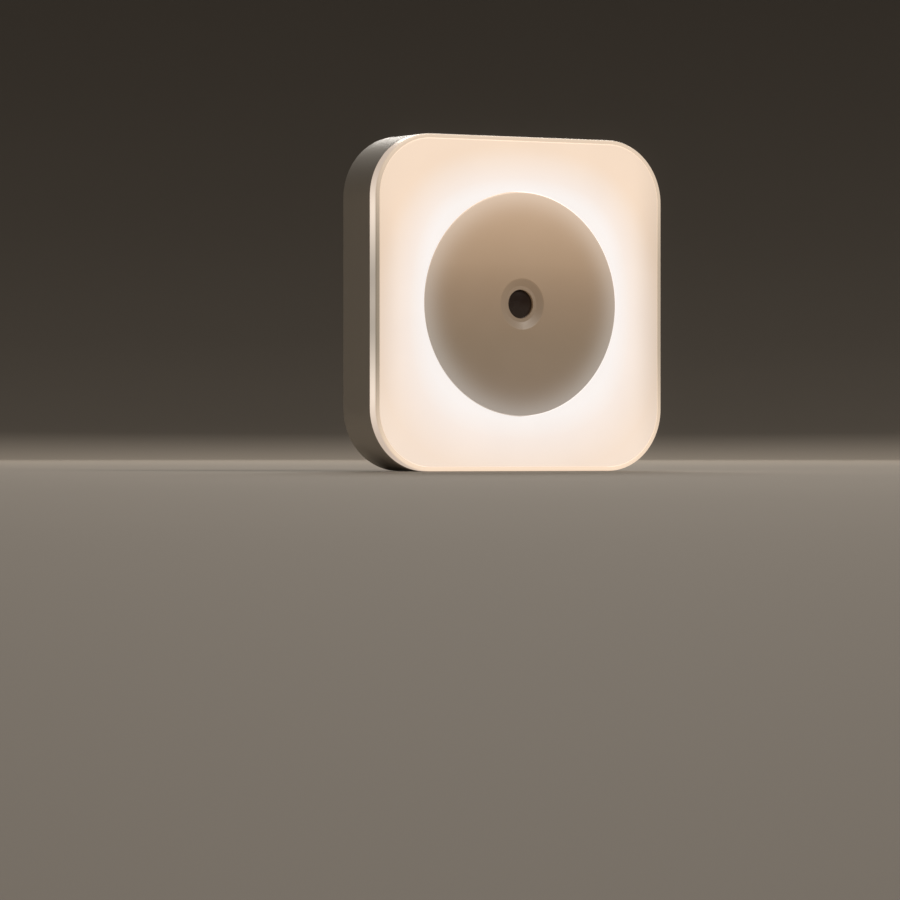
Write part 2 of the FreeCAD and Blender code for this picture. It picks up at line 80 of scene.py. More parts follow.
class Slot(str, Enum):
    """Names of the record's material slots."""

    HOUSING = "housing_plastic"
    DIFFUSER = "diffuser_plastic"
    DISC = "disc_plastic"
    WINDOW = "smoked_window"
    BLADE = "blade_metal"


class Operation(str, Enum):
    """What a carving body does to the piece that it meets."""

    JOIN = "UNION"
    CUT = "DIFFERENCE"


class Curve(str, Enum):
    """How a ramp runs between its stops."""

    SOFT = "B_SPLINE"
    THROUGH = "CARDINAL"


# Node sheets and finishes


class NodeSheet:
    """Builds the shader nodes of one material around its Principled shader."""

    def __init__(self, name: str, colour: Colour, roughness: float) -> None:
        """Start a material with a plain shader.

        Args:
            name: Name of the material.
            colour: Linear base colour.
            roughness: Roughness of the surface.
        """
        self.material = bpy.data.materials.new(name)
        self.material.use_nodes = True
        self.tree = self.material.node_tree
        self.shader = self.tree.nodes["Principled BSDF"]
        self.give("Base Color", colour)
        self.give("Roughness", roughness)

    def feed(self, target: Socket, value: object) -> None:
        """Give an input its value.

        Args:
            target: The input.
            value: Output of another node, linear colour or number.
        """
        if isinstance(value, Socket):
            self.tree.links.new(value, target)
        elif target.type == "RGBA":
            target.default_value = (*value, 1.0)
        else:
            target.default_value = value

    def give(self, name: str, value: object) -> None:
        """Feed one of the shader's inputs, by its name."""
        self.feed(self.shader.inputs[name], value)

    def node(self, kind: str, feeds: dict[object, object], **settings: object) -> bpy.types.Node:
        """Add a node of one kind and feed it.

        Args:
            kind: Blender's name of the node type.
            feeds: Value of each input, by the input's name or place.
            settings: Properties of the node, by name.

        Returns:
            The new node.
        """
        made = self.tree.nodes.new(kind)
        for key, value in settings.items():
            setattr(made, key, value)
        for key, value in feeds.items():
            self.feed(made.inputs[key], value)
        return made

    def place(self) -> Socket:
        """Return the place on the object, in metres."""
        return self.node("ShaderNodeTexCoord", {}).outputs["Object"]

    def stretched_place(self, scale: Triple) -> Socket:
        """Return the place on the object with each axis scaled."""
        return self.node("ShaderNodeMapping", {"Vector": self.place(), "Scale": scale}).outputs["Vector"]

    def axes(self) -> tuple[Socket, ...]:
        """Return the x, y and z of the place on the object."""
        return tuple(self.node("ShaderNodeSeparateXYZ", {"Vector": self.place()}).outputs)

    def maths(self, operation: str, first: object, second: object = 0.0) -> Socket:
        """Work out a value from two others, by Blender's name of the operation."""
        return self.node("ShaderNodeMath", {0: first, 1: second}, operation=operation).outputs[0]

    def product(self, first: object, second: object) -> Socket:
        """Multiply two values."""
        return self.maths("MULTIPLY", first, second)

    def total(self, first: object, second: object) -> Socket:
        """Add two values."""
        return self.maths("ADD", first, second)

    def spread(self, value: Socket, low: float, high: float, to_low: float = 0.0, to_high: float = 1.0,
               kind: str = "SMOOTHSTEP") -> Socket:
        """Map a value from one range to another, held at both ends and smooth unless told otherwise."""
        feeds = {"Value": value, "From Min": low, "From Max": high, "To Min": to_low, "To Max": to_high}
        return self.node("ShaderNodeMapRange", feeds, interpolation_type=kind).outputs["Result"]

    def ramp(self, factor: Socket, stops: Stops, curve: Curve = Curve.SOFT) -> Socket:
        """Colour a factor by a ramp.

        Args:
            factor: The factor, from 0 to 1.
            stops: Place and linear colour of each stop.
            curve: How the colour runs between the stops.

        Returns:
            The colour.
        """
        made = self.node("ShaderNodeValToRGB", {"Fac": factor})
        made.color_ramp.interpolation = curve.value
        elements = made.color_ramp.elements
        while len(elements) < len(stops):
            elements.new(1.0)
        for element, (place, colour) in zip(elements, stops):
            element.position = place
            element.color = (*colour, 1.0)
        return made.outputs["Color"]

    def dimmed(self, colour: Socket, level: Socket) -> Socket:
        """Multiply a colour by a level."""
        made = self.node("ShaderNodeVectorMath", {"Vector": colour, "Scale": level}, operation="SCALE")
        return made.outputs["Vector"]

    def distance(self, first: Socket, second: Socket, power: float = 2.0) -> Socket:
        """Measure how far a place is from the axis, round for power 2 and squarer above it."""
        powers = [self.maths("POWER", self.maths("ABSOLUTE", value), power) for value in (first, second)]
        return self.maths("POWER", self.total(*powers), 1 / power)

    def glow(self, colour: Socket) -> None:
        """Let the surface shine in a colour that nodes work out."""
        self.give("Emission Color", colour)
        self.give("Emission Strength", 1.0)

    def noise(self, scale: float, detail: float = 2.0, place: Socket | None = None) -> Socket:
        """Return a noise from 0 to 1, by its features in a metre and its octaves of finer noise."""
        feeds = {"Vector": place or self.place(), "Scale": scale, "Detail": detail}
        return self.node("ShaderNodeTexNoise", feeds).outputs["Fac"]

    def mix(self, factor: object, first: object, second: object, blend: str = "MIX") -> Socket:
        """Mix two colours, the second over the first by the factor."""
        feeds = {0: factor, 6: first, 7: second}
        return self.node("ShaderNodeMix", feeds, data_type="RGBA", blend_type=blend).outputs[2]

    def mottle(self, colour: Colour, depth: float, scale: float) -> None:
        """Darken and lighten the base colour in patches.

        Args:
            colour: The base colour.
            depth: Share of it that the patches lose or gain.
            scale: Patches in a metre.
        """
        stops = [
            (place, tuple(channel * share for channel in colour))
            for place, share in zip(NOISE_SPAN, (1 - depth, 1 + depth))
        ]
        self.give("Base Color", self.ramp(self.noise(scale, OCTAVES), stops))

    def vary_roughness(self, noise: Socket, low: float, high: float) -> None:
        """Let the roughness wander between two values with a noise."""
        self.give("Roughness", self.spread(noise, *NOISE_SPAN, low, high))

    def bump(self, height: Socket, depth: float, strength: float) -> None:
        """Raise the surface by a height from 0 to 1, to a depth in metres."""
        made = self.node("ShaderNodeBump", {"Height": height, "Distance": depth, "Strength": strength})
        self.give("Normal", made.outputs["Normal"])


@dataclass(frozen=True)
class Finish:
    """Base of the finishes: patches of colour, a roughness that wanders and a fine grain."""

    name: str
    colour: Colour
    roughness: float
    grain: float = 0.0
    grain_scale: float = 4200.0
    grain_depth: float = 0.02 * MM
    patch_depth: float = 0.0
    patch_scale: float = 60.0
    sheen: Span = (1.0, 1.0)
    sheen_scale: float = 0.0

    def wander(self) -> Span:
        """Return the lowest and highest roughness, here as shares of the middle one."""
        return tuple(self.roughness * share for share in self.sheen)

    def dress(self, sheet: NodeSheet) -> None:
        """Add what only this kind of finish has."""

    def material(self) -> Material:
        """Make the material.

        Returns:
            The finished material.
        """
        sheet = NodeSheet(self.name, self.colour, self.roughness)
        if self.patch_depth:
            sheet.mottle(self.colour, self.patch_depth, self.patch_scale)
        if self.sheen_scale:
            sheet.vary_roughness(sheet.noise(self.sheen_scale, OCTAVES), *self.wander())
        if self.grain:
            sheet.bump(sheet.noise(self.grain_scale), self.grain_depth, self.grain)
        self.dress(sheet)
        return sheet.material


@dataclass(frozen=True)
class MouldedPlastic(Finish):
    """Opaque moulded plastic with a fine spark-eroded grain."""

    grain: float = 0.35
    patch_depth: float = 0.02
    sheen: Span = (-0.05, 0.06)
    sheen_scale: float = 180.0

    def wander(self) -> Span:
        """Return the lowest and highest roughness, as steps from the middle one."""
        return tuple(self.roughness + step for step in self.sheen)


@dataclass(frozen=True, kw_only=True)
class LitPlastic(Finish):
    """Milky plastic that glows, with its light laid out in half widths of the case."""

    half_width: float
    colour: Colour = (0.30, 0.27, 0.23)
    grain: float = 0.2
    grain_scale: float = 5200.0
    grain_depth: float = 0.01 * MM

    def over(self, sheet: NodeSheet, value: Socket, span: Span, ends: Span = (0.0, 1.0)) -> Socket:
        """Map a place smoothly from a span of half widths to two ends."""
        low, high = (share * self.half_width for share in span)
        return sheet.spread(value, low, high, *ends)


@dataclass(frozen=True)
class Dip:
    """Loss of light beside one upright edge, with its spans in half widths."""

    across: Span
    depth: float
    along: Span
    rest: float = 0.0


@dataclass(frozen=True, kw_only=True)
class LitPanel(LitPlastic):
    """Milky panel lit from behind, whitest round the disc and warmer towards its edges."""

    disc_radius: float
    name: str = "milky_panel"
    near: Colour = (0.78, 0.745, 0.735)
    middle: Colour = (0.765, 0.68, 0.635)
    outer: Colour = (0.75, 0.615, 0.515)
    edge: Colour = (0.745, 0.57, 0.435)
    reach: float = 1.02
    squareness: float = 0.5
    square_power: float = 4.0
    warmth: Span = (0.72, 1.25)
    dips: tuple[Dip, Dip] = (
        Dip((-0.82, -0.98), 0.10, (0.25, 0.85)),
        Dip((0.78, 1.0), 0.22, (0.25, 0.95), 0.35),
    )
    patches: Span = (0.99, 1.01)
    patch_scale: float = 90.0
    roughness: float = 0.38

    def level(self, sheet: NodeSheet, x: Socket, z: Socket) -> Socket:
        """Work out how the light dips in the middle of the left and right edges.

        Args:
            sheet: Sheet of the material.
            x: Place to the right.
            z: Place upwards.

        Returns:
            The level, 1 where nothing dips.
        """
        height = sheet.maths("ABSOLUTE", z)
        losses = [
            sheet.product(self.over(sheet, x, dip.across, (0.0, dip.depth)),
                          self.over(sheet, height, dip.along, (1.0, dip.rest)))
            for dip in self.dips
        ]
        patches = sheet.spread(sheet.noise(self.patch_scale), *NOISE_SPAN, *self.patches)
        return sheet.product(sheet.maths("SUBTRACT", 1.0, sheet.total(*losses)), patches)

    def dress(self, sheet: NodeSheet) -> None:
        """Light the panel from behind.

        Args:
            sheet: Sheet of the material.
        """
        x, _, z = sheet.axes()
        square = sheet.product(sheet.distance(x, z, self.square_power), self.squareness)
        round_share = sheet.product(sheet.distance(x, z), 1.0 - self.squareness)
        outward = sheet.spread(sheet.total(square, round_share), self.disc_radius,
                               self.half_width * self.reach, kind="LINEAR")
        factor = sheet.product(outward, self.over(sheet, z, (-1.0, 1.0), self.warmth))
        stops = [(0.0, self.near), (0.08, self.near), (0.3, self.middle), (0.7, self.outer), (1.0, self.edge)]
        sheet.glow(sheet.dimmed(sheet.ramp(factor, stops), self.level(sheet, x, z)))


@dataclass(frozen=True, kw_only=True)
class LitRim(LitPlastic):
    """Milky rim that glows by the light that leaks into it, less in the middle of each side, with painted
    reflection in the glow of its front band.
    """

    front: float
    name: str = "milky_rim"
    side_dim: Colour = (0.45, 0.39, 0.33)
    side_bright: Colour = (0.82, 0.69, 0.58)
    side_corner: Colour = (0.58, 0.47, 0.39)
    # Front band colours: its glow, part leaked light and part painted reflection.
    band_dim: Colour = (0.18, 0.146, 0.105)
    band_glow_and_painted_reflection: Colour = (0.80, 0.62, 0.47)
    band_depth: Span = (0.35 * MM, 0.05 * MM)
    end_span: Span = (0.2, 1.06)
    right_span: Span = (0.2, 0.95)
    top_loss: float = 0.26
    right_gain: float = 0.3
    roughness: float = 0.35

    def band(self, sheet: NodeSheet, x: Socket, z: Socket) -> Socket:
        """Work out the glow of the narrow band round the front, part leaked light and part painted
        reflection.

        Args:
            sheet: Sheet of the material.
            x: Place to the right.
            z: Place upwards.

        Returns:
            The colour.
        """
        # Where the band brightens, part of it is painted reflection.
        ends = self.over(sheet, sheet.maths("ABSOLUTE", z), self.end_span)
        above = self.over(sheet, z, (0.0, 1.0), (1.0, 1.0 - self.top_loss))
        right = self.over(sheet, x, self.right_span, (0.0, self.right_gain))
        gain = sheet.product(right, sheet.maths("SUBTRACT", 1.0, ends))
        return sheet.mix(sheet.total(sheet.product(ends, above), gain), self.band_dim, self.band_glow_and_painted_reflection)

    def dress(self, sheet: NodeSheet) -> None:
        """Light the strip round the side and the band round the front.

        Args:
            sheet: Sheet of the material.
        """
        x, y, z = sheet.axes()
        height = sheet.maths("DIVIDE", sheet.maths("ABSOLUTE", z), self.half_width)
        side = sheet.ramp(height, [
            (0.0, self.side_dim), (0.2, self.side_dim), (0.54, self.side_bright), (0.78, self.side_corner),
            (1.0, self.side_corner),
        ], Curve.THROUGH)
        on_front = sheet.spread(y, *(self.front + depth for depth in self.band_depth))
        sheet.glow(sheet.mix(on_front, side, self.band(sheet, x, z)))


@dataclass(frozen=True, kw_only=True)
class ShadedDisc(MouldedPlastic):
    """Satin cap with painted light on it: a painted fall of light from above, a painted glow round its edge
    and painted shade in its dish.
    """

    radius: float
    dish_radius: float
    name: str = "satin_cap_painted_light"
    colour: Colour = (0.42, 0.345, 0.275)
    # Painted light: lowest to highest are the colours of light painted as falling from above, from the bottom
    # of the cap to its top.
    lowest: Colour = (0.060, 0.040, 0.030)
    lower: Colour = (0.055, 0.035, 0.015)
    middle: Colour = (0.105, 0.060, 0.030)
    upper: Colour = (0.19, 0.115, 0.06)
    highest: Colour = (0.42, 0.275, 0.17)
    # Painted glow near the edge: its colour, where it starts and how fast it rises towards the rim.
    painted_edge_glow: Colour = (0.16, 0.17, 0.172)
    painted_edge_glow_span: Span = (0.5, 1.04)
    painted_edge_glow_power: float = 3.8
    # Painted shade in the dish: where it starts and how much of the painted light the dish keeps.
    painted_dish_shade_span: Span = (0.93, 1.02)
    painted_dish_shade: float = 0.62
    roughness: float = 0.42
    sheen: Span = (-0.04, 0.05)
    sheen_scale: float = 240.0
    patch_scale: float = 110.0
    grain: float = 0.3
    grain_scale: float = 4600.0
    grain_depth: float = 0.015 * MM

    def dress(self, sheet: NodeSheet) -> None:
        """Paint light and shade on the cap: a painted fall of light from above, a painted glow near the edge
        and painted shade in the dish.

        Args:
            sheet: Sheet of the material.
        """
        x, _, z = sheet.axes()
        radius = sheet.distance(x, z)
        height = sheet.maths("DIVIDE", sheet.total(z, self.radius), 2 * self.radius)
        # Painted light: lighter towards the top, as if lit from above.
        painted_light_fall = sheet.ramp(height, [
            (0.0, self.lowest), (0.3, self.lower), (0.5, self.middle), (0.68, self.upper),
            (1.0, self.highest),
        ])
        # Painted glow near the edge of the cap.
        near_edge = sheet.spread(radius, *(share * self.radius for share in self.painted_edge_glow_span))
        painted_leak = sheet.mix(sheet.maths("POWER", near_edge, self.painted_edge_glow_power), (0.0, 0.0, 0.0), self.painted_edge_glow)
        # Painted shade: the dish keeps only part of the painted light.
        dish_edge = (share * self.dish_radius for share in self.painted_dish_shade_span)
        sunk = sheet.spread(radius, *dish_edge, self.painted_dish_shade, 1.0)
        sheet.glow(sheet.dimmed(sheet.mix(1.0, painted_light_fall, painted_leak, "ADD"), sunk))


@dataclass(frozen=True)
class GlossyPiece(Finish):
    """Smooth dark or coloured surface with a clear skin."""

    coat: float = 0.5
    coat_roughness: float = 0.08
    sheen: Span = (0.8, 1.3)
    sheen_scale: float = 400.0
    patch_depth: float = 0.06
    patch_scale: float = 300.0

    def dress(self, sheet: NodeSheet) -> None:
        """Lay the clear skin over it."""
        sheet.give("Coat Weight", self.coat)
        sheet.give("Coat Roughness", self.coat_roughness)


@dataclass(frozen=True)
class PlatedMetal(Finish):
    """Plated or plain metal with fine lines drawn along one axis and dulled patches."""

    lines: Triple = (9000.0, 500.0, 9000.0)
    line_depth: float = 0.008 * MM
    line_strength: float = 0.35
    sheen: Span = (0.75, 1.35)
    patch_depth: float = 0.05
    patch_scale: float = 220.0

    def dress(self, sheet: NodeSheet) -> None:
        """Draw the fine lines.

        Args:
            sheet: Sheet of the material.
        """
        sheet.give("Metallic", 1.0)
        lines = sheet.noise(1.0, place=sheet.stretched_place(self.lines))
        sheet.vary_roughness(lines, *self.wander())
        sheet.bump(lines, self.line_depth, self.line_strength)


@dataclass(frozen=True)
class BoardMask(Finish):
    """White solder mask with the faint steps of the copper under it."""

    name: str = "white_mask"
    colour: Colour = (0.80, 0.80, 0.77)
    roughness: float = 0.35
    track_scale: float = 260.0
    track_edge: Span = (0.04, 0.09)
    track_shade: float = 0.86
    relief_depth: float = 0.04 * MM
    relief: float = 0.5

    def dress(self, sheet: NodeSheet) -> None:
        """Show the copper under the mask.

        Args:
            sheet: Sheet of the material.
        """
        feeds = {"Vector": sheet.place(), "Scale": self.track_scale}
        tracks = sheet.node("ShaderNodeTexVoronoi", feeds, distance="CHEBYCHEV", feature="DISTANCE_TO_EDGE")
        step = sheet.spread(tracks.outputs["Distance"], *self.track_edge)
        darker = tuple(channel * self.track_shade for channel in self.colour)
        sheet.give("Base Color", sheet.mix(step, darker, self.colour))
        sheet.bump(step, self.relief_depth, self.relief)


@dataclass(frozen=True, kw_only=True)
class LedPackage(Finish):
    """White LED body whose sunken middle holds the yellow phosphor."""

    top: float
    name: str = "led_package"
    colour: Colour = (0.86, 0.85, 0.80)
    phosphor: Colour = (0.90, 0.62, 0.12)
    starts: Span = (0.08 * MM, 0.12 * MM)
    ends: Span = (0.22 * MM, 0.26 * MM)
    roughness: float = 0.3
    sheen: Span = (5 / 6, 4 / 3)
    sheen_scale: float = 500.0

    def dress(self, sheet: NodeSheet) -> None:
        """Fill the sunken middle with phosphor.

        Args:
            sheet: Sheet of the material.
        """
        _, y, _ = sheet.axes()
        sunk, below = (
            sheet.spread(y, *(self.top + depth for depth in span)) for span in (self.starts, self.ends)
        )
        sheet.give("Base Color", sheet.mix(sheet.maths("SUBTRACT", sunk, below), self.colour, self.phosphor))


@dataclass(frozen=True)
class StudioSurface(Finish):
    """Warm grey seamless paper of the floor."""

    name: str = "studio_paper"
    colour: Colour = (0.33, 0.288, 0.24)
    roughness: float = 0.85
    patch_depth: float = 0.012
    patch_scale: float = 9.0


# Mesh work shared by the sub-assemblies


class Workshop:
    """Shapes blocks and turned parts with mesh operators and hands them over as objects."""

    @staticmethod
    def bevel(shape: Mesh, edges: list, offset: float, segments: int, **more: bool) -> None:
        """Round edges in a number of segments."""
        bmesh.ops.bevel(shape, geom=edges, offset=offset, offset_type="OFFSET", segments=segments,
                        profile=0.5, affect="EDGES", material=-1, **more)

    @classmethod
    def rounded_block(cls, width: float, height: float, radius: float, near: float, far: float,
                      corner_steps: int = 24, x: float = 0.0) -> Mesh:
        """Make a block with four round corners, seen along the plug axis.

        Args:
            width: Size along X.
            height: Size along Z.
            radius: Radius of the four corners.
            near: Its lower y, towards the room.
            far: Its higher y, towards the wall.
            corner_steps: Segments of each corner.
            x: Its middle to the right.

        Returns:
            The mesh, still open for work.
        """
        shape = bmesh.new()
        place = Matrix.Translation(Vector((x, (near + far) / 2, 0.0)))
        stretch = Matrix.Diagonal(Vector((width, far - near, height, 1.0)))
        bmesh.ops.create_cube(shape, size=1.0, matrix=place @ stretch)
        corners = [
            edge for edge in shape.edges
            if abs(edge.verts[0].co.y - edge.verts[1].co.y) > TOLERANCE
        ]
        cls.bevel(shape, corners, radius, corner_steps)
        return shape

    @staticmethod
    def flat_at(items: Iterable, level: float) -> list:
        """Return those edges or faces that lie flat at one y."""
        return [item for item in items if all(abs(vertex.co.y - level) < TOLERANCE for vertex in item.verts)]

    @classmethod
    def face_at(cls, shape: Mesh, level: float) -> bmesh.types.BMFace:
        """Return the largest face that lies flat at one y."""
        return max(cls.flat_at(shape.faces, level), key=lambda face: face.calc_area())

    @classmethod
    def soften(cls, shape: Mesh, level: float, offset: float, segments: int = 4) -> None:
        """Round the sharp edges that lie flat at one y."""
        edges = [edge for edge in cls.flat_at(shape.edges, level) if edge.calc_face_angle(0.0) > SHARP]
        cls.bevel(shape, edges, offset, segments)

    @staticmethod
    def push(shape: Mesh, face: bmesh.types.BMFace, way: Vector, **more: bool) -> None:
        """Extrude a face.

        Args:
            shape: Mesh to change.
            face: The face.
            way: How far and which way the new face moves.
            more: Further settings of the extrusion.
        """
        made = bmesh.ops.extrude_face_region(shape, geom=[face], **more)
        moved = [item for item in made["geom"] if isinstance(item, bmesh.types.BMVert)]
        bmesh.ops.translate(shape, verts=moved, vec=way)

    @classmethod
    def step_in(cls, shape: Mesh, level: float, wall: float, depth: float) -> None:
        """Inset the face at one y by a wall and push its middle along y.

        Args:
            shape: Mesh to change.
            level: The y of the face.
            wall: Width of the wall that stays.
            depth: How far the middle moves, positive towards the wall.
        """
        face = cls.face_at(shape, level)
        bmesh.ops.inset_region(shape, faces=[face], thickness=wall, use_even_offset=True)
        cls.push(shape, face, Vector((0.0, depth, 0.0)))
        bmesh.ops.delete(shape, geom=[face], context="FACES_ONLY")

    @staticmethod
    def spun(profile: Iterable[Vector], closed: bool, axis: Vector, steps: int) -> Mesh:
        """Spin points once round an axis through the origin.

        Args:
            profile: The points, in order.
            closed: Whether the last point joins the first.
            axis: The axis.
            steps: Segments of the full turn.

        Returns:
            The mesh.
        """
        shape = bmesh.new()
        verts = [shape.verts.new(point) for point in profile]
        edges = [
            shape.edges.new(pair)
            for pair in zip(verts, verts[1:] + verts[:1] if closed else verts[1:])
            if max(vertex.co.x for vertex in pair) > TOLERANCE
        ]
        bmesh.ops.spin(shape, geom=verts + edges, axis=axis, cent=Vector(), angle=2 * math.pi, steps=steps,
                       use_merge=True, use_duplicate=False)
        bmesh.ops.remove_doubles(shape, verts=shape.verts, dist=TOLERANCE)
        if closed:
            bmesh.ops.recalc_face_normals(shape, faces=shape.faces)
        return shape

    @classmethod
    def turned(cls, profile: Iterable[Span], steps: int) -> Mesh:
        """Spin a closed profile of (radius, y) about the plug axis into a closed mesh."""
        points = (Vector((radius, y, 0.0)) for radius, y in profile)
        return cls.spun(points, True, Vector((0, 1, 0)), steps)

    @staticmethod
    def rod(radius: float, near: Vector, far: Vector, steps: int) -> Mesh:
        """Make a closed cylinder between two points that lie along X or Y.

        Args:
            radius: Its radius.
            near: Middle of its lower end.
            far: Middle of its higher end.
            steps: Segments round it.

        Returns:
            The mesh.
        """
        shape = bmesh.new()
        bmesh.ops.create_cone(shape, cap_ends=True, segments=steps, radius1=radius, radius2=radius,
                              depth=(far - near).length)
        turn = Matrix.Rotation(math.radians(90), 4, "X" if far.y > near.y else "Y")
        place = Matrix.Translation((near + far) / 2)
        bmesh.ops.transform(shape, matrix=place @ turn, verts=shape.verts)
        return shape

    @staticmethod
    def handed_over(shape: Mesh, name: str) -> Piece:
        """Turn a finished mesh into an object at the origin.

        Args:
            shape: The mesh, which is freed.
            name: Name of the object.

        Returns:
            The object.
        """
        mesh = bpy.data.meshes.new(name)
        shape.to_mesh(mesh)
        shape.free()
        piece = bpy.data.objects.new(name, mesh)
        bpy.context.scene.collection.objects.link(piece)
        return piece

    @classmethod
    def carve(cls, piece: Piece, shapes: Iterable[Mesh], operation: Operation) -> None:
        """Join solid shapes to a piece or cut them out of it.

        Args:
            piece: Object whose mesh changes.
            shapes: Closed meshes, which are used up.
            operation: Whether they join or cut.
        """
        for shape in shapes:
            cutter = cls.handed_over(shape, "cutter")
            modifier = piece.modifiers.new("carve", "BOOLEAN")
            modifier.operation = operation.value
            modifier.solver = "EXACT"
            modifier.object = cutter
            graph = bpy.context.evaluated_depsgraph_get()
            carved = bpy.data.meshes.new_from_object(piece.evaluated_get(graph))
            piece.modifiers.remove(modifier)
            old = piece.data
            piece.data = carved
            carved.name = piece.name
            bpy.data.meshes.remove(old)
            bpy.data.meshes.remove(cutter.data)
            cls.close_seams(carved)

    @staticmethod
    def close_seams(mesh: bpy.types.Mesh) -> None:
        """Merge doubled points of a carved mesh and clear faces without area.

        Args:
            mesh: Mesh to mend.
        """
        shape = bmesh.new()
        shape.from_mesh(mesh)
        bmesh.ops.remove_doubles(shape, verts=shape.verts, dist=TOLERANCE)
        bmesh.ops.dissolve_degenerate(shape, dist=TOLERANCE, edges=shape.edges)
        bmesh.ops.recalc_face_normals(shape, faces=shape.faces)
        shape.to_mesh(mesh)
        shape.free()


def quarter(steps: int) -> list[Span]:
    """Return the sine and cosine of each step of a quarter turn."""
    turns = [math.pi / 2 * step / steps for step in range(1, steps + 1)]
    return [(math.sin(turn), math.cos(turn)) for turn in turns]


def install(shape: Mesh, name: str, node: str, material: Material,
            joins: Iterable[Mesh] = (), cuts: Iterable[Mesh] = (), sharp: float = 35.0) -> None:
    """Finish a piece and let it stand for its CAD node on the light's one body.

    Args:
        shape: Its main mesh.
        name: Its name.
        node: Name of the node that it replaces.
        material: Its only material.
        joins: Closed meshes that are joined to it.
        cuts: Closed meshes that are then cut out of it.
        sharp: Angle in degrees past which an edge stays sharp.
    """
    piece = Workshop.handed_over(shape, name)
    Workshop.carve(piece, joins, Operation.JOIN)
    Workshop.carve(piece, cuts, Operation.CUT)
    mesh = piece.data
    mesh.materials.clear()
    mesh.materials.append(material)
    mesh.shade_smooth()
    mesh.set_sharp_from_angle(angle=math.radians(sharp))
    piece.modifiers.new("even_shading", "WEIGHTED_NORMAL").keep_sharp = True
    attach(piece, "root")
    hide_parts(node)
    log.info("%s: %d faces, for node %s", name, len(mesh.polygons), node)


# Sub-assemblies


@dataclass(frozen=True)
class CaseSizes:
    """Levels and widths of the case, read from the frame where the frame gives them."""

    width: float
    outlet: float
    back: float
    seam: float
    front: float
    skirt_end: float
    corner_radius: float = 10.4 * MM
    side_wall: float = 1.6 * MM
    back_wall: float = 1.8 * MM
    boss_depth: float = 2.5 * MM
    front_thickness: float = 1.4 * MM

    @classmethod
    def from_frame(cls) -> "CaseSizes":
        """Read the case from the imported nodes.

        Returns:
            The sizes.
        """
        low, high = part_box("rear_housing")
        rim_low, rim_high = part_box("front_rim")
        return cls(width=high.x - low.x, outlet=high.y, back=high.y - cls.boss_depth, seam=low.y,
                   front=rim_low.y, skirt_end=rim_high.y)

    @property
    def half(self) -> float:
        """Return half the width."""
        return self.width / 2

    @property
    def floor(self) -> float:
        """Return the y of the housing's inner floor."""
        return self.back - self.back_wall

    @property
    def wall_middle(self) -> float:
        """Return the y of the middle of the back wall, where what stands on it starts."""
        return self.back - self.back_wall / 2

    def block(self, inset: float, near: float, far: float) -> Mesh:
        """Return a block with the case's outline, drawn in by an inset."""
        width = self.width - 2 * inset
        return Workshop.rounded_block(width, width, self.corner_radius - inset, near, far)


@dataclass
class RearHousing:
    """Opaque back shell with the plug boss, the board's posts and the slots for the blades."""

    case: CaseSizes
    finish: MouldedPlastic
    boss_width: float = 30.0 * MM
    boss_height: float = 24.0 * MM
    boss_corner: float = 5.0 * MM
    boss_round: float = 0.4 * MM
    back_round: float = 0.5 * MM
    seam_round: float = 0.12 * MM
    post_radius: float = 2.3 * MM
    post_offset: float = 20.0 * MM
    slot_gap: float = 0.1 * MM
    slot_corner: float = 0.2 * MM
    boss_steps: int = 12
    post_steps: int = 48
    slot_steps: int = 3

    def shell(self) -> Mesh:
        """Make the open box of the shell.

        Returns:
            The mesh.
        """
        case = self.case
        shape = case.block(0.0, case.seam, case.back)
        Workshop.soften(shape, case.back, self.back_round)
        Workshop.soften(shape, case.seam, self.seam_round, 2)
        Workshop.step_in(shape, case.seam, case.side_wall - self.seam_round, case.floor - case.seam)
        return shape

    def boss(self) -> Mesh:
        """Make the boss that meets the outlet.

        Returns:
            The mesh.
        """
        shape = Workshop.rounded_block(self.boss_width, self.boss_height, self.boss_corner,
                                       self.case.wall_middle, self.case.outlet, self.boss_steps)
        Workshop.soften(shape, self.case.outlet, self.boss_round)
        return shape

    def posts(self) -> list[Mesh]:
        """Make the four posts that the board is screwed to.

        Returns:
            One mesh for each post.
        """
        _, board_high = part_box("circuit_board")
        offsets = (-self.post_offset, self.post_offset)
        return [
            Workshop.rod(self.post_radius, Vector((x, board_high.y, z)),
                         Vector((x, self.case.wall_middle, z)), self.post_steps)
            for x in offsets
            for z in offsets
        ]

    def slots(self) -> list[Mesh]:
        """Make the slots that the blades pass through.

        Returns:
            One mesh for each slot.
        """
        cuts = []
        floor = self.case.floor
        for node in Plug.blades:
            low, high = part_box(node)
            thickness = high.x - low.x + 2 * self.slot_gap
            for width, far in (
                (Plug.blade_width, self.case.outlet + MM),
                (high.z - low.z, floor + Plug.shoulder_depth + self.slot_gap),
            ):
                cuts.append(Workshop.rounded_block(thickness, width + 2 * self.slot_gap, self.slot_corner,
                                                   floor - MM, far, self.slot_steps, (low.x + high.x) / 2))
        return cuts

    def build(self) -> None:
        """Build and dress the shell."""
        install(self.shell(), "housing_shell", "rear_housing", self.finish.material(),
                [self.boss(), *self.posts()], self.slots())


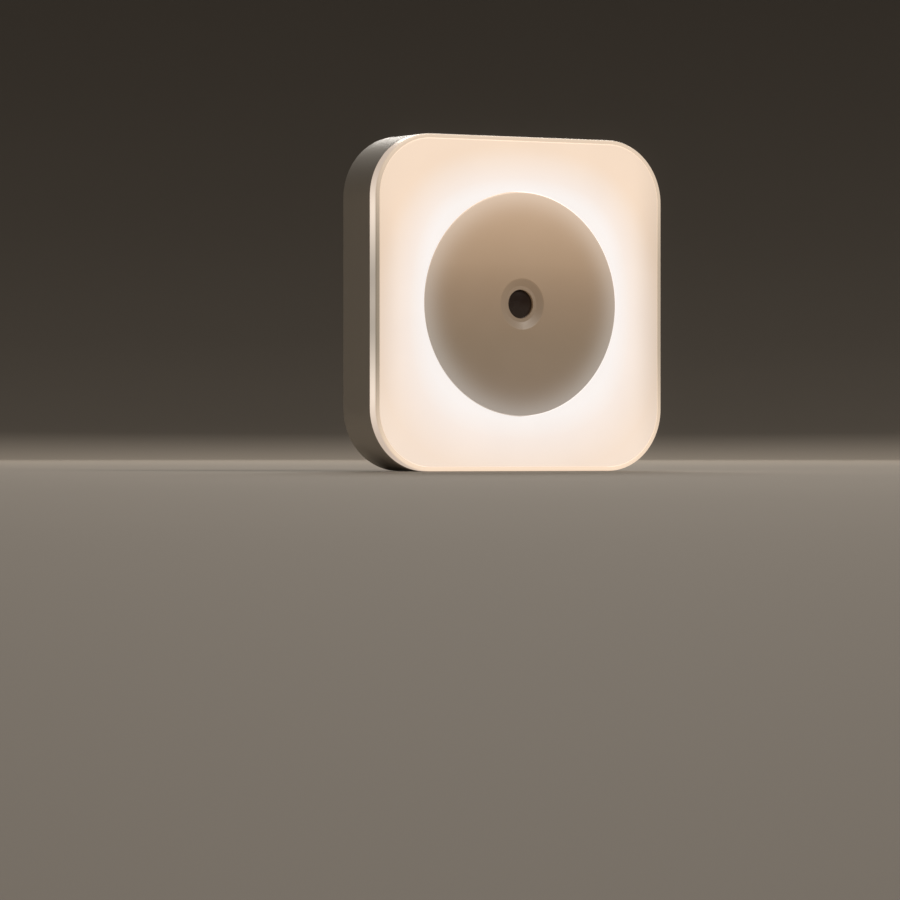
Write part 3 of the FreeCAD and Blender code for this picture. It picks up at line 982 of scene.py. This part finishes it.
@dataclass
class LitFront:
    """Milky rim with its skirt, and the panel that lies flush in it."""

    case: CaseSizes
    disc_radius: float
    rim_band: float = 0.66 * MM
    panel_gap: float = 0.06 * MM
    panel_round: float = 0.14 * MM
    front_round: float = 0.25 * MM
    seam_round: float = 0.12 * MM
    skirt_gap: float = 0.15 * MM
    skirt_wall: float = 1.2 * MM
    disc_gap: float = 0.1 * MM
    hook_width: float = 6.0 * MM
    hook_height: float = 1.2 * MM
    hook_reach: float = 0.7 * MM
    hook_setback: float = 0.3 * MM
    hook_spacing: float = 24.0 * MM
    hole_steps: int = 160

    def frame(self) -> Mesh:
        """Make the rim as a ring with a ledge for the panel and a skirt that enters the housing.

        Returns:
            The mesh.
        """
        case = self.case
        shape = case.block(0.0, case.front, case.seam)
        Workshop.soften(shape, case.front, self.front_round)
        Workshop.soften(shape, case.seam, self.seam_round, 2)
        skirt_inset = case.side_wall + self.skirt_gap
        Workshop.step_in(shape, case.front, self.rim_band - self.front_round, case.front_thickness)
        Workshop.step_in(shape, case.seam, skirt_inset - self.seam_round, case.skirt_end - case.seam)
        ledge = Workshop.face_at(shape, case.front + case.front_thickness)
        lip = Workshop.face_at(shape, case.skirt_end)
        for face, wall in ((ledge, skirt_inset + self.skirt_wall - self.rim_band), (lip, self.skirt_wall)):
            bmesh.ops.inset_region(shape, faces=[face], thickness=wall, use_even_offset=True)
        mouths = list(ledge.edges) + list(lip.edges)
        bmesh.ops.delete(shape, geom=[ledge, lip], context="FACES_ONLY")
        bmesh.ops.bridge_loops(shape, edges=mouths)
        bmesh.ops.recalc_face_normals(shape, faces=shape.faces)
        return shape

    def hooks(self) -> list[Mesh]:
        """Make the two snap hooks of each side.

        Returns:
            One mesh for each hook.
        """
        face = self.case.half - self.case.side_wall - self.skirt_gap
        root = face - self.skirt_wall / 2
        far = self.case.skirt_end - self.hook_setback
        made = []
        for side in range(4):
            for along in (-self.hook_spacing / 2, self.hook_spacing / 2):
                hook = bmesh.new()
                size = Vector((face + self.hook_reach - root, self.hook_height, self.hook_width, 1.0))
                place = Matrix.Translation(Vector((root + size.x / 2, far - self.hook_height / 2, along)))
                bmesh.ops.create_cube(hook, size=1.0, matrix=place @ Matrix.Diagonal(size))
                toe = [v for v in hook.verts if v.co.x > face and v.co.y > far - TOLERANCE]
                bmesh.ops.translate(hook, verts=toe, vec=Vector((-self.hook_reach, 0.0, 0.0)))
                turn = Matrix.Rotation(side * math.pi / 2, 4, "Y")
                bmesh.ops.transform(hook, matrix=turn, verts=hook.verts)
                made.append(hook)
        return made

    def build(self) -> None:
        """Build and dress the rim and the panel."""
        front, half = self.case.front, self.case.half
        finish = LitRim(front=front, half_width=half)
        install(self.frame(), "glowing_rim", "front_rim", finish.material(), self.hooks())
        back = front + self.case.front_thickness
        ends = (Vector((0.0, level, 0.0)) for level in (front - MM, back + MM))
        hole = Workshop.rod(self.disc_radius + self.disc_gap, *ends, self.hole_steps)
        panel = self.case.block(self.rim_band + self.panel_gap, front, back)
        Workshop.soften(panel, front, self.panel_round, 3)
        finish = LitPanel(disc_radius=self.disc_radius, half_width=half)
        install(panel, "glowing_panel", "front_diffuser", finish.material(), cuts=[hole])


@dataclass
class CentreDisc:
    """Crowned cap with its dish, its collar and the skirt that keeps the light out of its middle."""

    case: CaseSizes
    radius: float = 18.5 * MM
    crown: float = 0.35 * MM
    edge_round: float = 0.2 * MM
    flange_thickness: float = 0.8 * MM
    skirt_setback: float = 0.3 * MM
    skirt_wall: float = 1.0 * MM
    dish_radius: float = 4.25 * MM
    dish_floor_radius: float = 3.0 * MM
    hole_radius: float = 2.4 * MM
    lip: float = 0.45 * MM
    collar_gap: float = 0.08 * MM
    collar_wall: float = 1.1 * MM
    collar_depth: float = 1.4 * MM
    crown_steps: int = 14
    edge_steps: int = 9
    round_steps: int = 192
    sharp: float = 12.0

    def crown_level(self, radius: float) -> float:
        """Return the y of the crowned front at a distance from the axis."""
        return self.case.front - self.crown * (1 - (radius / self.radius) ** 2)

    def front_profile(self) -> list[Span]:
        """Work out the crown from the dish to the rounded edge.

        Returns:
            Points of (radius, y).
        """
        start = self.radius - self.edge_round
        steps = self.crown_steps
        radii = [self.dish_radius + (start - self.dish_radius) * step / steps for step in range(steps + 1)]
        centre_y = self.crown_level(start) + self.edge_round
        return [(radius, self.crown_level(radius)) for radius in radii] + [
            (start + self.edge_round * sine, centre_y - self.edge_round * cosine)
            for sine, cosine in quarter(self.edge_steps)
        ]

    def back_profile(self) -> list[Span]:
        """Work out the flange, the skirt, the collar and the hole.

        Returns:
            Points of (radius, y).
        """
        disc_low, disc_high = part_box("centre_disc")
        window_low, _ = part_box("sensor_window")
        sleeve_low, sleeve_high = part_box("sensor_sleeve")
        flange_radius = (disc_high.x - disc_low.x) / 2
        skirt = self.radius - self.skirt_setback
        back = self.case.front + self.case.front_thickness
        collar_inner = (sleeve_high.x - sleeve_low.x) / 2 + self.collar_gap
        collar_outer = collar_inner + self.collar_wall
        floor = window_low.y - self.lip
        return [
            (self.radius, back), (flange_radius, back), (flange_radius, back + self.flange_thickness),
            (skirt, back + self.flange_thickness), (skirt, disc_high.y),
            (skirt - self.skirt_wall, disc_high.y), (skirt - self.skirt_wall, back),
            (collar_outer, back), (collar_outer, back + self.collar_depth),
            (collar_inner, back + self.collar_depth), (collar_inner, window_low.y),
            (self.hole_radius, window_low.y), (self.hole_radius, floor), (self.dish_floor_radius, floor),
        ]

    def build(self) -> None:
        """Build and dress the disc."""
        shape = Workshop.turned(self.front_profile() + self.back_profile(), self.round_steps)
        material = ShadedDisc(radius=self.radius, dish_radius=self.dish_radius).material()
        install(shape, "centre_cap", "centre_disc", material, sharp=self.sharp)


@dataclass
class SensorWindow:
    """Smoked window with a slightly domed front."""

    finish: GlossyPiece
    dome: float = 0.18 * MM
    dome_gap: float = 0.1 * MM
    dome_steps: int = 8
    round_steps: int = 96
    sharp: float = 40.0

    def build(self) -> None:
        """Build and dress the window."""
        low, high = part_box("sensor_window")
        radius = (high.x - low.x) / 2
        domed = CentreDisc.hole_radius - self.dome_gap
        points = [(0.0, high.y), (radius, high.y), (radius, low.y), (domed, low.y)]
        for step in range(1, self.dome_steps + 1):
            share = step / self.dome_steps
            points.append((domed * (1 - share), low.y - self.dome * (1 - (1 - share) ** 2)))
        install(Workshop.turned(points, self.round_steps), "smoked_lens", "sensor_window",
                self.finish.material(), sharp=self.sharp)


@dataclass
class Plug:
    """The two flat blades, with cut tips, soft edges and a hole near each end."""

    case: CaseSizes
    finish: PlatedMetal
    blades: tuple[str, str] = ("prong_left", "prong_right")
    blade_width: float = 6.35 * MM
    hole_radius: float = 1.6 * MM
    hole_depth: float = 11.9 * MM
    tip_cut: float = 1.3 * MM
    tip_taper: float = 0.45 * MM
    tip_taper_length: float = 1.6 * MM
    edge_round: float = 0.12 * MM
    shoulder_depth: float = 1.2 * MM
    neck_width: float = 3.0 * MM
    hole_steps: int = 64
    edge_angle: float = 30.0

    def outline(self, low: Vector, high: Vector) -> list[Span]:
        """Work out a blade's outline from its neck to its cut tip.

        Args:
            low: Lower corner of its CAD node.
            high: Higher corner of its CAD node.

        Returns:
            Corners of (y, z), once round.
        """
        floor = self.case.floor
        shelf = floor + self.shoulder_depth
        neck, half = self.neck_width / 2, self.blade_width / 2
        upper = [
            (low.y, neck), (floor, neck), (floor, high.z), (shelf, high.z), (shelf, half),
            (high.y - self.tip_cut, half), (high.y, half - self.tip_cut),
        ]
        return upper + [(y, -z) for y, z in reversed(upper)]

    def blade(self, low: Vector, high: Vector) -> Mesh:
        """Make one blade with a thinner tip and soft edges.

        Args:
            low: Lower corner of its CAD node.
            high: Higher corner of its CAD node.

        Returns:
            The mesh.
        """
        middle = (low.x + high.x) / 2
        shape = bmesh.new()
        corners = [shape.verts.new(Vector((low.x, y, z))) for y, z in self.outline(low, high)]
        Workshop.push(shape, shape.faces.new(corners), Vector((high.x - low.x, 0.0, 0.0)), use_keep_orig=True)
        bmesh.ops.recalc_face_normals(shape, faces=shape.faces)
        taper_start = high.y - self.tip_taper_length
        bmesh.ops.bisect_plane(shape, geom=shape.verts[:] + shape.edges[:] + shape.faces[:],
                               plane_co=Vector((0, taper_start, 0)), plane_no=Vector((0, 1, 0)))
        for vertex in shape.verts:
            past = max(vertex.co.y - taper_start, 0.0) / self.tip_taper_length
            vertex.co.x -= math.copysign(self.tip_taper * past, vertex.co.x - middle)
        sharp = [edge for edge in shape.edges if edge.calc_face_angle(0.0) > math.radians(self.edge_angle)]
        Workshop.bevel(shape, sharp, self.edge_round, 3, clamp_overlap=True, loop_slide=True)
        return shape

    def build(self) -> None:
        """Build and dress both blades."""
        material = self.finish.material()
        level = self.case.outlet + self.hole_depth
        for node in self.blades:
            low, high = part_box(node)
            ends = (Vector((x, level, 0.0)) for x in (low.x - MM, high.x + MM))
            install(self.blade(low, high), node.replace("prong", "blade"), node, material,
                    cuts=[Workshop.rod(self.hole_radius, *ends, self.hole_steps)])


@dataclass
class Circuit:
    """The pieces inside the case, which keep their CAD shapes."""

    nodes: dict[str, Piece]

    def build(self) -> None:
        """Give every inner node its own finish."""
        led_low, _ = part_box("led_chips")
        package = MouldedPlastic("black_package", (0.022, 0.022, 0.024), 0.5, 0.4, 9000.0)
        steel = PlatedMetal("zinc_steel", (0.62, 0.63, 0.65), 0.3, lines=(4000.0, 4000.0, 4000.0))
        finishes: dict[str, Finish] = {
            "circuit_board": BoardMask(),
            "led_chips": LedPackage(top=led_low.y),
            "sensor_sleeve": MouldedPlastic("black_sleeve", (0.02, 0.02, 0.021), 0.7, 0.5, 3000.0),
            "light_sensor": GlossyPiece("sensor_ceramic", (0.62, 0.40, 0.22), 0.3, coat=0.4),
            "prong_retainer": MouldedPlastic("retainer_plastic", (0.62, 0.60, 0.55), 0.55),
            "retainer_screws": steel,
            "board_screws": steel,
            "fusible_resistor": MouldedPlastic("resistor_coat", (0.10, 0.22, 0.15), 0.55, 0.5, 3000.0),
            "varistor": GlossyPiece("varistor_coat", (0.015, 0.06, 0.30), 0.3, coat=0.4),
            "smoothing_capacitor": GlossyPiece("capacitor_sleeve", (0.02, 0.022, 0.035), 0.28),
            "bridge_rectifier": package,
            "driver_chip": package,
            "control_transistor": package,
            "chip_resistors": GlossyPiece("chip_glaze", (0.045, 0.045, 0.05), 0.3, coat=0.2),
            "chip_capacitor": GlossyPiece("capacitor_ceramic", (0.42, 0.30, 0.18), 0.4, coat=0.1),
            "solder_joints": PlatedMetal("solder", (0.70, 0.71, 0.73), 0.22, lines=(1500.0, 1500.0, 1500.0)),
        }
        made: dict[Finish, Material] = {}
        for node, finish in finishes.items():
            if finish not in made:
                made[finish] = finish.material()
            materials = self.nodes[node].data.materials
            materials.clear()
            materials.append(made[finish])
            log.info("%s: CAD shape, finish %s", node, finish.name)


# Studio


@dataclass(frozen=True)
class SoftLight:
    """One square softbox that points at the light."""

    name: str
    place: Vector
    size: float
    power: float
    colour: Colour = (1.0, 0.95, 0.89)

    def build(self) -> None:
        """Place the softbox."""
        lamp = bpy.data.lights.new(self.name, "AREA")
        lamp.shape = "SQUARE"
        lamp.size = self.size
        lamp.energy = self.power
        lamp.color = self.colour
        holder = bpy.data.objects.new(self.name, lamp)
        holder.location = self.place
        holder.rotation_euler = (-self.place).to_track_quat("-Z", "Y").to_euler()
        bpy.context.scene.collection.objects.link(holder)


@dataclass
class Studio:
    """Warm grey floor that curves up far behind, soft light and the photograph's camera."""

    floor_level: float
    floor_reach: float = 0.75
    bend_radius: float = 2.6
    bend_steps: int = 16
    wall_height: float = 3.4
    round_steps: int = 96
    world_colour: Colour = (1.0, 0.93, 0.85)
    world_strength: float = 0.04
    camera_place: Triple = (-0.40972, -0.68177, -0.02366)
    camera_azimuth: float = -30.66
    camera_range: Span = (0.01, 20.0)
    lens: float = 189.46
    sensor: float = 36.0
    horizon_row: float = 447.0
    frame_rows: float = 900.0
    lights: tuple[SoftLight, ...] = (
        SoftLight("key_softbox", Vector((0.36, -0.87, 0.74)), 0.45, 6.15),
        SoftLight("top_softbox", Vector((0.15, 0.15, 1.1)), 0.9, 2.6),
        SoftLight("back_softbox", Vector((0.34, 0.55, 0.42)), 0.36, 2.4),
    )
    bloom_levels: tuple[tuple[str, float], ...] = (("Threshold", 0.75), ("Strength", 0.35), ("Size", 0.3))

    def floor(self) -> Piece:
        """Make the round floor and its wall as one turned sheet.

        Returns:
            The sheet.
        """
        reach, bend = self.floor_reach, self.bend_radius
        points = [(0.0, 0.0), (reach, 0.0)]
        points += [(reach + bend * sine, bend * (1 - cosine)) for sine, cosine in quarter(self.bend_steps)]
        points.append((reach + bend, self.wall_height))
        profile = (Vector((radius, 0.0, self.floor_level + rise)) for radius, rise in points)
        shape = Workshop.spun(profile, False, Vector((0, 0, 1)), self.round_steps)
        sheet = Workshop.handed_over(shape, "studio_floor")
        sheet.data.shade_smooth()
        sheet.data.materials.append(StudioSurface().material())
        return sheet

    def camera(self) -> None:
        """Place the camera where the photograph was taken from."""
        lens = bpy.data.cameras.new("photo_camera")
        lens.lens = self.lens
        lens.sensor_width = self.sensor
        lens.shift_y = (self.horizon_row - self.frame_rows / 2) / self.frame_rows
        lens.clip_start, lens.clip_end = self.camera_range
        holder = bpy.data.objects.new("photo_camera", lens)
        holder.location = self.camera_place
        holder.rotation_euler = (math.radians(90), 0.0, math.radians(self.camera_azimuth))
        bpy.context.scene.collection.objects.link(holder)
        bpy.context.scene.camera = holder

    def world(self) -> None:
        """Fill the room with a dim, even and slightly warm light."""
        world = bpy.data.worlds.new("room")
        world.use_nodes = True
        background = world.node_tree.nodes["Background"]
        background.inputs["Color"].default_value = (*self.world_colour, 1.0)
        background.inputs["Strength"].default_value = self.world_strength
        bpy.context.scene.world = world
        bpy.context.scene.view_settings.view_transform = "Standard"

    def bloom(self) -> None:
        """Let the brightest parts of the picture bleed a little, as in the photograph."""
        scene = bpy.context.scene
        scene.use_nodes = True
        tree = scene.node_tree
        tree.nodes.clear()
        layers, glare, picture = (
            tree.nodes.new("CompositorNode" + kind) for kind in ("RLayers", "Glare", "Composite")
        )
        glare.glare_type = "FOG_GLOW"
        glare.quality = "HIGH"
        for name, level in self.bloom_levels:
            glare.inputs[name].default_value = level
        tree.links.new(layers.outputs["Image"], glare.inputs["Image"])
        tree.links.new(glare.outputs["Image"], picture.inputs["Image"])

    def build(self) -> None:
        """Set the whole stage."""
        self.camera()
        self.floor()
        self.world()
        for light in self.lights:
            light.build()
        self.bloom()
        log.info("studio: %d softboxes", len(self.lights))


def main() -> None:
    """Build the night light and its studio, piece by piece."""
    logging.basicConfig(level=logging.INFO, format="%(name)s: %(message)s")
    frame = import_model()
    case = CaseSizes.from_frame()
    floor_gap = 0.05 * MM
    Studio(floor_level=-case.half - floor_gap).build()
    RearHousing(case, MouldedPlastic("housing_plastic", (0.68, 0.645, 0.59), 0.48)).build()
    LitFront(case, CentreDisc.radius).build()
    CentreDisc(case).build()
    SensorWindow(GlossyPiece("smoked_acrylic", (0.034, 0.021, 0.016), 0.24, coat=0.12)).build()
    Plug(case, PlatedMetal("nickel_plate", (0.78, 0.75, 0.70), 0.24)).build()
    Circuit(frame["nodes"]).build()


if __name__ == "__main__":
    main()
